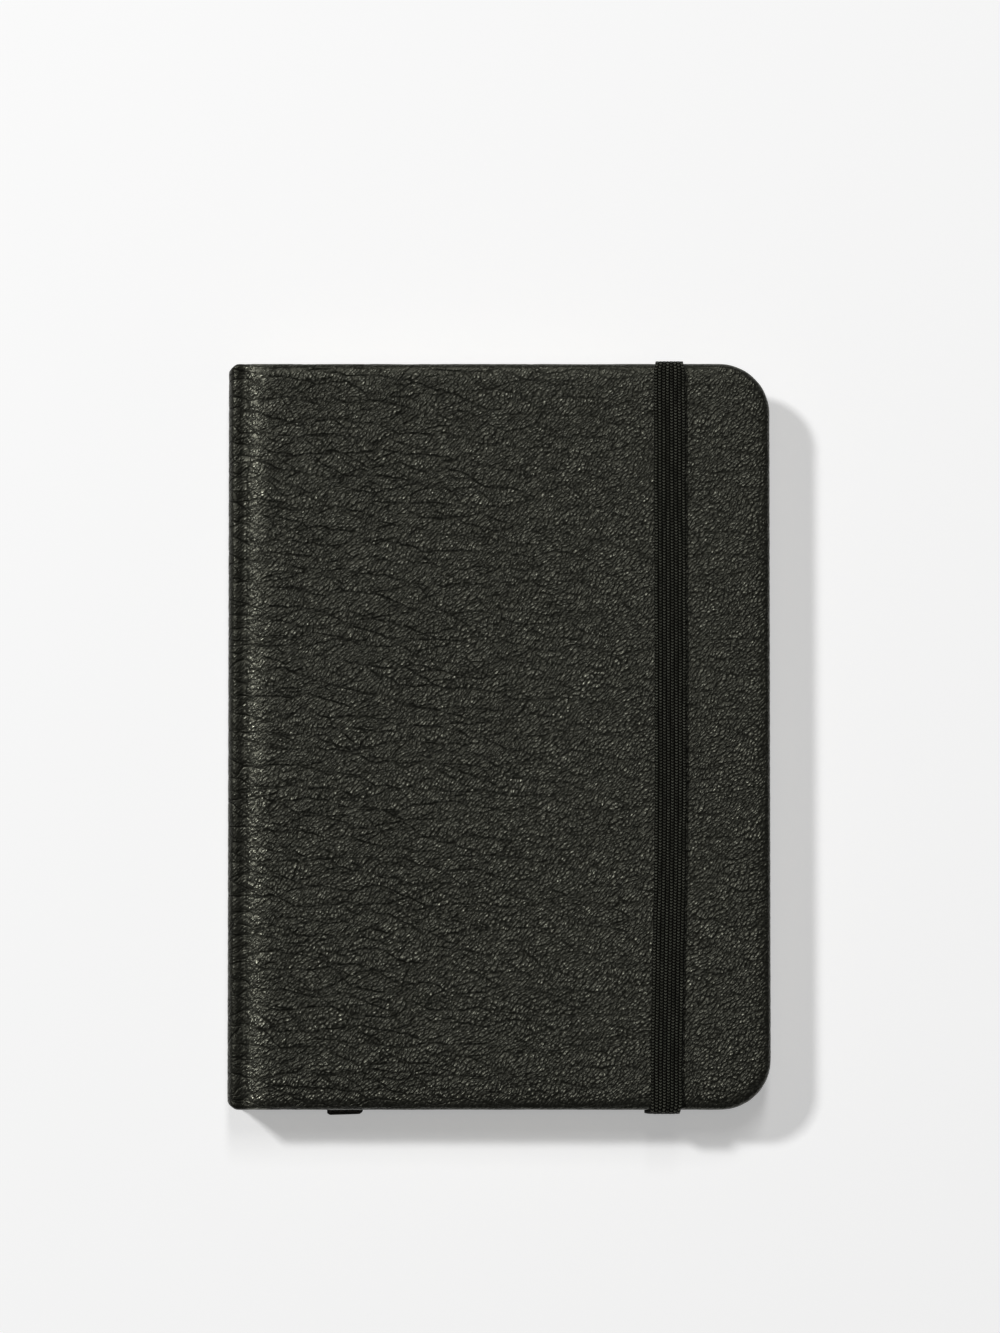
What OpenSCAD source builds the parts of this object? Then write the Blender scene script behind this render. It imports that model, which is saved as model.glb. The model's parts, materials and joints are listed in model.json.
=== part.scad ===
// Pocket notebook: sewn A6 page block in a soft-edged leather-covered case,
// closed by an elastic band, with a ribbon marker.
// X runs from the spine (-X) to the fore-edge (+X), Y to the head, Z up through
// the thickness. The back cover lies on Z = 0 and the origin is its centre.

/* [Cover] */
// Width of the closed notebook, spine to fore-edge
cover_w = 112; // [90:1:150]
// Height of the closed notebook, tail to head
cover_h = 154; // [130:1:220]
// Thickness of the closed notebook
book_t = 15; // [13:0.5:17]
// Corner radius at the fore-edge
corner_r = 10.4; // [4:0.2:14]
// Corner radius at the spine
spine_corner_r = 2.6; // [1.5:0.1:3]
// Thickness of the leather
leather_t = 0.6; // [0.4:0.1:0.7]
// Radius of the rolled board edge
edge_r = 1.3; // [0.8:0.1:1.4]
// Width of the leather turned in under each board
turn_in_w = 12; // [8:1:16]
// Depth of the turned-in leather
turn_in_t = 0.3; // [0.2:0.05:0.4]
// Thickness of the paper pasted inside each board
endpaper_t = 0.15; // [0.1:0.01:0.2]
// Distance of the pasted paper from the board edges
endpaper_margin = 2.2; // [1.5:0.1:4]

/* [Page block] */
// Gap between the page edges and the cover edge at head and tail
square_y = 3; // [2:0.5:5]
// Gap between the page edges and the cover edge at the fore-edge
square_x = 3; // [2:0.5:5]
// Corner radius of the leaves
page_r = 8; // [3:0.5:10]
// Number of sewn sections in each half of the block
half_sections = 6; // [6:1:6]
// Free space between neighbouring sections
section_gap = 0.04; // [0.02:0.01:0.06]
// Thickness of the loose half of each endpaper
flyleaf_t = 0.15; // [0.1:0.01:0.2]
// Free space between bodies that turn past each other
turn_gap = 0.1; // [0.06:0.01:0.12]
// Space left for the ribbon at the middle of the block
ribbon_space = 0.5; // [0.45:0.05:0.6]

/* [Spine] */
// Distance of each hinge line from the spine face
hinge_in = 2.2; // [2.1:0.05:2.4]
// Thickness of the spine stiffener
spine_board_t = 1.1; // [0.8:0.1:1.1]
// Radius of the spine shoulders
shoulder_r = 1.8; // [1.4:0.1:1.8]
// Distance from the hinge line to each board edge
joint_w = 2; // [2:0.1:2.4]
// Number of sewing stations along the spine
stations = 6; // [4:1:8]

/* [Elastic] */
// Width of the elastic band
elastic_w = 6.5; // [5:0.5:8]
// Thickness of the elastic band
elastic_t = 0.8; // [0.6:0.05:0.9]
// Distance of the elastic centre line from the notebook centre
elastic_x = 35; // [28:0.2:38]
// Free space between the elastic and the covers
elastic_gap = 0.08; // [0.05:0.01:0.12]
// Distance of the anchor slits from head and tail
slit_in = 13; // [12.9:0.1:16]

/* [Ribbon] */
// Width of the ribbon marker
ribbon_w = 7.6; // [4:0.2:9]
// Thickness of the ribbon marker
ribbon_t = 0.3; // [0.2:0.02:0.35]
// Distance of the ribbon tail from the spine face
ribbon_out_x = 24.2; // [18:0.2:40]
// Length of ribbon that shows past the tail
ribbon_tail = 1.3; // [0.4:0.1:2]

/* [Hidden] */

hw = cover_w / 2;
hh = cover_h / 2;
board_t = 2;                                // board with the leather's turn-in pressed into it
case_t = leather_t + board_t + endpaper_t;  // one cover, leather to pasted paper
hinge_x = -hw + hinge_in;
hinge_lo = case_t;                          // height of the rear hinge line
hinge_hi = book_t - case_t;                 // height of the front hinge line
board_x = hinge_x + joint_w;                // spine-side edge of the boards
mid_z = book_t / 2;
fold_x = hinge_x + 1.8;                     // spine-side edge of the free leaves
page_x1 = hw - square_x;
page_hy = hh - square_y;
half_t = (hinge_hi - hinge_lo) / 2 - ribbon_space / 2;
section_pitch = (half_t - 2 * turn_gap - flyleaf_t) / half_sections;
section_t = section_pitch - section_gap;
slit_y = hh - slit_in;
slit_w = 1.1;
chan_w = elastic_w + 0.5;                   // width of the pressed channels on the back
chan_d = elastic_t + 0.04;                  // depth of those channels
rear_free = hinge_hi - hinge_lo;

// Points of an arc
function arc(cx, cy, r, a0, a1, n) =
    [for (i = [0 : n]) let (a = a0 + (a1 - a0) * i / n) [cx + r * cos(a), cy + r * sin(a)]];

// Upright outline between x0 and x1, y = -h .. h, with radius rs on the low-x side and rf on the high-x side
function outline(x0, x1, h, rs, rf) = concat(
    arc(x1 - rf, h - rf, rf, 0, 90, 14),
    arc(x0 + rs, h - rs, rs, 90, 180, 6),
    arc(x0 + rs, -h + rs, rs, 180, 270, 6),
    arc(x1 - rf, -h + rf, rf, 270, 360, 14));

// Plate with that outline from z0 to z1, inset by d
module plate(x0, x1, h, rs, rf, z0, z1, d = 0)
    translate([0, 0, z0]) linear_extrude(height = z1 - z0)
        polygon(outline(x0 + d, x1 - d, h - d, max(rs - d, 0.3), max(rf - d, 0.3)));

// Board plate: the outline of one cover, inset by d
module cover_plate(z0, z1, d) plate(board_x, hw, hh, 0.8, corner_r, z0, z1, d);

// Outer body of one cover with its rolled edge, outer face up at z = t
module rolled(t) {
    hull() {
        for (a = [0, 22.5, 45, 67.5, 90])
            cover_plate(t - edge_r * (1 - sin(a)) - 0.01, t - edge_r * (1 - sin(a)), edge_r * (1 - cos(a)));
        cover_plate(0.3, 0.31, 0);
        cover_plate(0, 0.01, 0.3);
    }
}

// The leather of one cover, outer face up, measured from the turned-in face at z = 0
module cover_leather() {
    difference() {
        rolled(board_t + leather_t);
        cover_plate(turn_in_t, board_t, leather_t);
        cover_plate(-1, turn_in_t + 0.01, turn_in_w);
    }
}

// The board of one cover, outer face up, with a rebate for the turned-in leather
module cover_board() {
    cover_plate(turn_in_t + 0.02, board_t - 0.02, leather_t + 0.02);
    cover_plate(0, turn_in_t + 0.02, turn_in_w + 0.02);
}

// Moves a cover built face up onto the front, or turned over onto the back
module on_front() translate([0, 0, book_t - board_t - leather_t]) children();
module on_back() translate([0, 0, board_t + leather_t]) mirror([0, 0, 1]) children();

// The pressed channels and slits that take the elastic on the back cover
module elastic_ways(grow, depth) {
    for (s = [-1, 1]) {
        translate([elastic_x - chan_w / 2 - grow, s > 0 ? slit_y - slit_w / 2 - grow : -hh - 2, -1])
            cube([chan_w + 2 * grow, slit_in + slit_w / 2 + grow + 2, 1 + depth]);
        translate([elastic_x - chan_w / 2, s * slit_y - slit_w / 2, -1])
            cube([chan_w, slit_w, 6]);
    }
}

// The pasted elastic ends lie in this hollow on the board's inner face
module anchor_hollow(grow) {
    for (s = [-1, 1])
        translate([elastic_x - chan_w / 2 - grow, s > 0 ? slit_y - 14 - grow : -slit_y - slit_w / 2 - grow, case_t - endpaper_t - elastic_t - 0.05 - grow])
            cube([chan_w + 2 * grow, 14 + slit_w / 2 + 2 * grow, elastic_t + 1]);
}

module front_leather() color([0.035, 0.035, 0.03]) on_front() cover_leather();
module front_board() color([0.42, 0.4, 0.37]) on_front() cover_board();

module pasted(z0)
    plate(board_x + 0.4, hw, hh, 1, corner_r, z0, z0 + endpaper_t - 0.02, endpaper_margin);
module front_endpaper() color([0.86, 0.83, 0.74]) pasted(hinge_hi);
module back_endpaper() color([0.86, 0.83, 0.74]) pasted(hinge_lo - endpaper_t + 0.02);

// The back leather dips into the board under the elastic's channels
module back_leather() color([0.035, 0.035, 0.03])
    difference() {
        union() {
            on_back() cover_leather();
            intersection() {
                for (s = [-1, 1])
                    translate([elastic_x - chan_w / 2 - 0.5, s > 0 ? slit_y - slit_w / 2 - 0.5 : -hh + leather_t + 0.01, leather_t - 0.01])
                        cube([chan_w + 1, slit_in + slit_w / 2 + 0.5 - leather_t - 0.01, chan_d - 0.2]);
                cover_plate(0, 3, 0.2);
            }
        }
        elastic_ways(0, chan_d);
    }
module back_board() color([0.42, 0.4, 0.37])
    difference() {
        on_back() cover_board();
        elastic_ways(0.52, leather_t + chan_d - 0.18);
        anchor_hollow(0);
    }

// Short ends of the elastic, glued between board and pasted paper
module elastic_ends() color([0.02, 0.02, 0.018])
    for (s = [-1, 1]) scale([1, s, 1])
        translate([elastic_x - elastic_w / 2, slit_y - 13.5, case_t - endpaper_t - elastic_t])
            cube([elastic_w, 13.5 - 0.1, elastic_t - 0.05]);

module leaf_stack(z0, t) plate(fold_x, page_x1, page_hy, 0.3, page_r, z0, z0 + t);
module front_flyleaf() color([0.86, 0.83, 0.74]) leaf_stack(hinge_hi - turn_gap - flyleaf_t, flyleaf_t);
module rear_flyleaf() color([0.86, 0.83, 0.74]) leaf_stack(hinge_lo + turn_gap, flyleaf_t);

// Section n counts from the front cover, 1 to 12
module section(n)
    color([0.88, 0.85, 0.76])
        if (n <= half_sections)
            leaf_stack(hinge_hi - 2 * turn_gap - flyleaf_t - (n - 1) * section_pitch - section_t, section_t);
        else
            leaf_stack(hinge_lo + 2 * turn_gap + flyleaf_t + (2 * half_sections - n) * section_pitch, section_t);

// Spine covering: a flat back with rounded shoulders that end at the joints
module spine_profile(r_out, r_in) {
    cx = -hw + shoulder_r;
    zt = book_t - 0.85 - shoulder_r;
    zb = 0.85 + shoulder_r;
    difference() {
        polygon(concat(arc(cx, zt, r_out, 90, 180, 8), arc(cx, zb, r_out, 180, 270, 8)));
        polygon(concat([[cx + 0.1, zt + r_in]], arc(cx, zt, r_in, 90, 180, 8), arc(cx, zb, r_in, 180, 270, 8), [[cx + 0.1, zb - r_in]]));
    }
}
// Turns a profile drawn in X and Z into a solid along Y
module along_y(h) translate([0, h, 0]) rotate([90, 0, 0]) linear_extrude(height = 2 * h) children();
module spine_leather() color([0.035, 0.035, 0.03])
    intersection() {
        along_y(hh) spine_profile(shoulder_r, shoulder_r - leather_t);
        plate(-hw, hw, hh, spine_corner_r, 2, -1, book_t + 1);
    }
// Flexible strip of leather between the spine shoulder and a board edge
module joint_strip() {
    zt = book_t - 0.85;
    zc = book_t - 1.0;
    xs = -hw + shoulder_r + 0.02;
    xe = board_x - 0.02;
    intersection() {
        along_y(hh)
            polygon([[xs, zt], [xs + 0.7, zt - 0.18], [xs + 1.4, zt - 0.22], [xe, zc - 0.05],
                     [xe, zc - 0.05 - leather_t], [xs + 1.4, zt - 0.22 - leather_t], [xs + 0.7, zt - 0.18 - leather_t], [xs, zt - leather_t]]);
        plate(-hw, hw, hh, spine_corner_r, 2, -1, book_t + 1);
    }
}
module front_joint_leather() color([0.035, 0.035, 0.03]) joint_strip();
module rear_joint_leather() color([0.035, 0.035, 0.03]) translate([0, 0, book_t]) mirror([0, 0, 1]) joint_strip();

module spine_board() color([0.42, 0.4, 0.37])
    translate([-hw + leather_t + 0.05, -hh + 1.2, hinge_lo - 0.3])
        cube([spine_board_t, cover_h - 2.4, rear_free + 0.6]);
module spine_slab(x0, x1, h, e)
    translate([x0, -h, hinge_lo + e]) cube([x1 - x0, 2 * h, rear_free - 2 * e]);
module spine_lining() color([0.6, 0.5, 0.36]) spine_slab(hinge_x + 0.1, hinge_x + 0.28, page_hy - 1, 0.3);
module mull() color([0.8, 0.77, 0.68]) spine_slab(hinge_x + 0.3, hinge_x + 0.44, page_hy - 6, 0.25);
// Linked stitches across the folded backs of the sections
module sewing_thread() color([0.9, 0.88, 0.82])
    for (i = [0 : stations - 1])
        translate([hinge_x + 0.64, -page_hy + 14 + i * (2 * page_hy - 28) / (stations - 1), hinge_lo + 0.5])
            cylinder(r = 0.17, h = rear_free - 1, $fn = 24);
// Folded backs of the twelve sections, seen from the spine as twelve low ridges
module sewn_folds() color([0.85, 0.82, 0.73]) {
    p = (rear_free - 0.3) / (2 * half_sections);
    along_y(page_hy)
        polygon(concat(
            [[fold_x - 0.1, hinge_lo + 0.15]],
            [for (i = [0 : 2 * half_sections - 1]) for (a = [0 : 30 : 180])
                [hinge_x + 1.14 - 0.3 * sin(a), hinge_lo + 0.15 + p * (i + 0.5 - 0.5 * cos(a) * 0.98)]],
            [[fold_x - 0.1, hinge_hi - 0.15]]));
}
// Rolled cloth bands that finish the block's spine at head and tail
module end_band(s)
    translate([hinge_x + 1.0, s * (page_hy + 0.72), hinge_lo + 0.2])
        cylinder(r = 0.7, h = rear_free - 0.4, $fn = 32);
module head_band() color([0.2, 0.19, 0.18]) end_band(1);
module tail_band() color([0.2, 0.19, 0.18]) end_band(-1);

// Elastic loop: across the front, round head and tail, and under the back to the slits
module elastic_band() color([0.02, 0.02, 0.018]) {
    yo = hh + elastic_gap + elastic_t;
    zo = book_t + elastic_gap + elastic_t;
    ro = 1.6;
    translate([elastic_x - elastic_w / 2, 0, 0])
        rotate([90, 0, 90]) linear_extrude(height = elastic_w)
            difference() {
                polygon(concat(
                    arc(yo - ro, zo - ro, ro, 0, 90, 6), arc(-yo + ro, zo - ro, ro, 90, 180, 6),
                    arc(-yo + 0.9, 0.92, 0.9, 180, 270, 6), arc(yo - 0.9, 0.92, 0.9, 270, 360, 6)));
                polygon(concat(
                    arc(yo - ro, zo - ro, ro - elastic_t, 0, 90, 6), arc(-yo + ro, zo - ro, ro - elastic_t, 90, 180, 6),
                    arc(-yo + 0.9, 0.92, 0.1, 180, 270, 3), arc(yo - 0.9, 0.92, 0.1, 270, 360, 3)));
                translate([-slit_y + 0.35, -1]) square([2 * slit_y - 0.7, 3]);
            }
    // upright ends that enter the slits
    for (s = [-1, 1])
        translate([elastic_x - elastic_w / 2, s * slit_y - 0.35, 0.5])
            cube([elastic_w, 0.7, case_t - endpaper_t - elastic_t - 0.55]);
}

// Ribbon, from its glued head end to the folded bight that shows past the tail
module ribbon_marker() color([0.045, 0.045, 0.045]) {
    xt = -hw + ribbon_out_x;
    xh = fold_x + 5;
    yt = -hh - ribbon_tail;
    yh = page_hy - 1.5;
    h = ribbon_w / 2;
    translate([0, 0, mid_z - ribbon_t / 2]) linear_extrude(height = ribbon_t)
        polygon([[xh - h, yh], [xh + h, yh], [xt + h, -page_hy + 25], [xt + h, yt + 0.7], [xt + h - 0.7, yt + 0.2],
                 [xt - h + 0.5, yt], [xt - h, yt + 0.5], [xt - h, -page_hy + 25]]);
}

front_leather();
front_board();
front_endpaper();
front_flyleaf();
section(1);  // section_01
section(2);  // section_02
section(3);  // section_03
section(4);  // section_04
section(5);  // section_05
section(6);  // section_06
section(7);  // section_07
section(8);  // section_08
section(9);  // section_09
section(10);  // section_10
section(11);  // section_11
section(12);  // section_12
rear_flyleaf();
back_endpaper();
back_board();
back_leather();
elastic_ends();
spine_leather();
front_joint_leather();
rear_joint_leather();
spine_board();
spine_lining();
mull();
sewing_thread();
sewn_folds();
head_band();
tail_band();
elastic_band();
ribbon_marker();
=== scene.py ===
import json
import math

import bmesh
import bpy
import numpy as np
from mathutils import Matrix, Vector


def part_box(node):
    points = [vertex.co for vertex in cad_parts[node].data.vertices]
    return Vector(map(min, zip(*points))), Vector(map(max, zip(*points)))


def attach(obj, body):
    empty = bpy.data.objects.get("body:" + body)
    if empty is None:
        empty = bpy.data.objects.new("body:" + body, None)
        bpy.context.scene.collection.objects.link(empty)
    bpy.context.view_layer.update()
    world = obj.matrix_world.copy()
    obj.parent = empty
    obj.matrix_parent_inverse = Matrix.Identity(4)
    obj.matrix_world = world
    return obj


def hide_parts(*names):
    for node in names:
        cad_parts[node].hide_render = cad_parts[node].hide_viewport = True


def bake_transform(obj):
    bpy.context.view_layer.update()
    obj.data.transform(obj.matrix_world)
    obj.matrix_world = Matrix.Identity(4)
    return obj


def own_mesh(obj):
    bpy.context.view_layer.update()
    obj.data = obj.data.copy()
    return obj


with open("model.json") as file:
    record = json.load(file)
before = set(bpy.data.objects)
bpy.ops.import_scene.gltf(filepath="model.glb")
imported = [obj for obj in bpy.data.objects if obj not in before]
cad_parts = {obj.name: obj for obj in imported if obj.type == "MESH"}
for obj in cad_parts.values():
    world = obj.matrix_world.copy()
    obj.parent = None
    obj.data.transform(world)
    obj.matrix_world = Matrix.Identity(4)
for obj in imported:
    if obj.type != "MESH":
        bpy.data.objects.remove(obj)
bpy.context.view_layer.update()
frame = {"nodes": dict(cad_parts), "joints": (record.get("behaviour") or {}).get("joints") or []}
MM = 0.001


def mm(v):
    return np.array(v, float) * 1000.0


# ---------------------------------------------------------------- sizes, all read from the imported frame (mm)
fl_lo, fl_hi = map(mm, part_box("front_leather"))
bl_lo, bl_hi = map(mm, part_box("back_leather"))
sp_lo, sp_hi = map(mm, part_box("spine_leather"))
jt_lo, jt_hi = map(mm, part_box("front_joint_leather"))
sb_lo, sb_hi = map(mm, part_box("spine_board"))
el_lo, el_hi = map(mm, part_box("elastic_band"))
rb_lo, rb_hi = map(mm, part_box("ribbon_marker"))
joints = {j["name"]: j for j in frame["joints"]}
HX, _, HLO = mm(joints["spine_hinge"]["pos_m"])
_, _, HHI = mm(joints["front_cover_hinge"]["pos_m"])
TOP = fl_hi[2]  # face of the front cover
X0, X1 = sp_lo[0], fl_hi[0]
YH = fl_hi[1]
RC = 10.4  # fore-edge corner radius
ER = 1.3  # rolled edge radius
PAD_T = fl_hi[2] - fl_lo[2]
LT = 0.6
MID = TOP / 2


def smooth(a, b, v):
    t = np.clip((np.asarray(v, float) - a) / (b - a), 0, 1)
    return t * t * (3 - 2 * t)


# ---------------------------------------------------------------- small helpers
def link(obj):
    bpy.context.scene.collection.objects.link(obj)
    return obj


def mesh_object(name, verts, faces, smooth_shade=True, fix=True):
    """verts in mm"""
    me = bpy.data.meshes.new(name)
    me.from_pydata((np.asarray(verts, float) * MM).tolist(), [], faces)
    if fix:
        bm = bmesh.new()
        bm.from_mesh(me)
        bmesh.ops.recalc_face_normals(bm, faces=bm.faces)
        bm.to_mesh(me)
        bm.free()
    me.polygons.foreach_set("use_smooth", [smooth_shade] * len(me.polygons))
    me.update()
    return link(bpy.data.objects.new(name, me))


def put_vec(obj, name, values):
    a = obj.data.attributes.new(name, "FLOAT_VECTOR", "POINT")
    a.data.foreach_set("vector", np.asarray(values, np.float32).ravel())


def put_float(obj, name, values):
    a = obj.data.attributes.new(name, "FLOAT", "POINT")
    a.data.foreach_set("value", np.asarray(values, np.float32).ravel())


def sharp(obj, degrees=40):
    me = obj.data
    if hasattr(me, "set_sharp_from_angle"):
        me.set_sharp_from_angle(angle=math.radians(degrees))


def rng(seed):
    return np.random.RandomState(seed)


# ---------------------------------------------------------------- node helpers
class N:
    """Builds nodes in a shader or geometry tree."""

    def __init__(self, tree):
        self.t = tree

    def node(self, kind, **props):
        n = self.t.nodes.new(kind)
        for k, v in props.items():
            setattr(n, k, v)
        return n

    def feed(self, sock, v):
        if isinstance(v, bpy.types.NodeSocket):
            self.t.links.new(v, sock)
        elif v is not None:
            sock.default_value = v

    def math(self, op, a, b=None, c=None, clamp=False):
        n = self.node("ShaderNodeMath", operation=op, use_clamp=clamp)
        self.feed(n.inputs[0], a)
        if b is not None:
            self.feed(n.inputs[1], b)
        if c is not None:
            self.feed(n.inputs[2], c)
        return n.outputs[0]

    def vmath(self, op, a, b=None, scale=None):
        n = self.node("ShaderNodeVectorMath", operation=op)
        self.feed(n.inputs[0], a)
        if b is not None:
            self.feed(n.inputs[1], b)
        if scale is not None:
            self.feed(n.inputs["Scale"], scale)
        return n.outputs[0]

    def ramp(self, v, a, b, lo=0.0, hi=1.0, kind="SMOOTHSTEP"):
        n = self.node("ShaderNodeMapRange", interpolation_type=kind)
        self.feed(n.inputs["Value"], v)
        n.inputs["From Min"].default_value = a
        n.inputs["From Max"].default_value = b
        n.inputs["To Min"].default_value = lo
        n.inputs["To Max"].default_value = hi
        return n.outputs["Result"]

    def noise(self, vec, scale, detail=2.0, rough=0.5, out="Fac", dims="2D"):
        n = self.node("ShaderNodeTexNoise", noise_dimensions=dims)
        self.feed(n.inputs["Vector"], vec)
        n.inputs["Scale"].default_value = scale
        n.inputs["Detail"].default_value = detail
        n.inputs["Roughness"].default_value = rough
        return n.outputs[0] if out == "Fac" else n.outputs[1]

    def voronoi(self, vec, feature="F1", out="Distance", scale=1.0, rnd=1.0, dims="2D", smoothness=None):
        n = self.node("ShaderNodeTexVoronoi", voronoi_dimensions=dims, feature=feature)
        self.feed(n.inputs["Vector"], vec)
        n.inputs["Scale"].default_value = scale
        n.inputs["Randomness"].default_value = rnd
        if smoothness is not None:
            n.inputs["Smoothness"].default_value = smoothness
        return n.outputs[out]

    def mix(self, fac, a, b):
        n = self.node("ShaderNodeMix", data_type="RGBA")
        self.feed(n.inputs[0], fac)
        self.feed(n.inputs[6], a)
        self.feed(n.inputs[7], b)
        return n.outputs[2]

    def bump(self, height, distance, strength=1.0, normal=None):
        n = self.node("ShaderNodeBump")
        n.inputs["Strength"].default_value = strength
        n.inputs["Distance"].default_value = distance
        self.feed(n.inputs["Height"], height)
        if normal is not None:
            self.feed(n.inputs["Normal"], normal)
        return n.outputs[0]


def material(name):
    m = bpy.data.materials.new(name)
    m.use_nodes = True
    m.node_tree.nodes.clear()
    n = N(m.node_tree)
    out = n.node("ShaderNodeOutputMaterial")
    b = n.node("ShaderNodeBsdfPrincipled")
    m.node_tree.links.new(b.outputs[0], out.inputs["Surface"])
    return m, n, b


def attr(n, name):
    a = n.node("ShaderNodeAttribute", attribute_type="GEOMETRY", attribute_name=name)
    return a


def object_mm(n):
    c = n.node("ShaderNodeTexCoord")
    return n.vmath("SCALE", c.outputs["Object"], scale=1000.0)


def rgb(r, g, b):
    return (r, g, b, 1.0)


# ---------------------------------------------------------------- leather: one pattern, used for both relief and shading
SHEET_X = 200.0  # the spine's middle in the sheet's own coordinates


def crease_field(n, p):
    """fine crease lines, the shallow valleys round them, and the swell between them; p in mm of the flat sheet"""
    w1 = n.noise(p, 1 / 14.0, 2.0, 0.5, out="Color")
    w1 = n.vmath("MULTIPLY", n.vmath("SUBTRACT", w1, (0.5, 0.5, 0.5)), (4.5, 3.2, 0.0))
    w2 = n.noise(p, 1 / 2.6, 1.0, 0.5, out="Color")
    w2 = n.vmath("MULTIPLY", n.vmath("SUBTRACT", w2, (0.5, 0.5, 0.5)), (1.2, 0.9, 0.0))
    q = n.vmath("ADD", n.vmath("ADD", p, w1), w2)

    def net(turn, shift, sx, sy):
        """distance in mm to the borders of long flat cells, and how level the border runs"""
        r = n.node("ShaderNodeVectorRotate", rotation_type="Z_AXIS")
        n.feed(r.inputs["Vector"], n.vmath("ADD", q, shift))
        r.inputs["Angle"].default_value = math.radians(turn)
        e = 0.12
        f = []
        for d in ((0.0, 0.0, 0.0), (e, 0.0, 0.0), (0.0, e, 0.0)):
            v = n.vmath("MULTIPLY", n.vmath("ADD", r.outputs[0], d), (1 / sx, 1 / sy, 0.0))
            f.append(n.voronoi(v, "DISTANCE_TO_EDGE"))
        gx, gy = n.math("SUBTRACT", f[1], f[0]), n.math("SUBTRACT", f[2], f[0])
        g = n.math("SQRT", n.math("ADD", n.math("MULTIPLY", gx, gx), n.math("MULTIPLY", gy, gy)))
        g = n.math("MAXIMUM", g, 0.6 * e / sx)
        flat = n.ramp(n.math("DIVIDE", n.math("ABSOLUTE", gy), g), 0.4, 0.88, 0.2, 1.0)
        return n.math("MULTIPLY", n.math("DIVIDE", f[0], g), e), flat

    da, fa = net(7.0, (0.0, 0.0, 0.0), 11.0, 3.4)
    dd, fd = net(-24.0, (57.0, 33.0, 0.0), 9.5, 3.4)
    db, fb = net(26.0, (31.7, 12.3, 0.0), 7.0, 3.0)
    ma = n.ramp(n.noise(p, 1 / 5.0, 2.0, 0.6), 0.36, 0.6, 0.45, 1.0)
    md = n.ramp(n.noise(n.vmath("ADD", p, (7.0, 91.0, 0.0)), 1 / 4.5, 2.0, 0.6), 0.4, 0.62, 0.2, 0.95)
    mb = n.ramp(n.noise(n.vmath("ADD", p, (70.0, 9.0, 0.0)), 1 / 4.0, 2.0, 0.6), 0.42, 0.64, 0.1, 0.8)
    far = n.node("ShaderNodeSeparateXYZ")
    n.feed(far.inputs[0], p)
    far = n.ramp(n.math("ABSOLUTE", n.math("SUBTRACT", far.outputs[0], SHEET_X)), 30.0, 100.0, 1.0, 0.6)
    sa = n.math("MULTIPLY", n.ramp(da, 0.06, 0.26, 1.0, 0.0), n.math("MULTIPLY", ma, fa))
    sd = n.math("MULTIPLY", n.ramp(dd, 0.06, 0.26, 1.0, 0.0), n.math("MULTIPLY", md, fd))
    sb = n.math("MULTIPLY", n.ramp(db, 0.05, 0.22, 1.0, 0.0), n.math("MULTIPLY", mb, fb))
    ba = n.math("MULTIPLY", n.ramp(da, 0.0, 0.7, 1.0, 0.0), n.math("MULTIPLY", ma, fa))
    bd = n.math("MULTIPLY", n.ramp(dd, 0.0, 0.7, 1.0, 0.0), n.math("MULTIPLY", md, fd))
    return (
        n.math("MULTIPLY", n.math("MAXIMUM", n.math("MAXIMUM", sa, sd), sb), far),
        n.math("MULTIPLY", n.math("MAXIMUM", ba, bd), far),
        n.ramp(da, 0.0, 1.5),
    )


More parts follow.
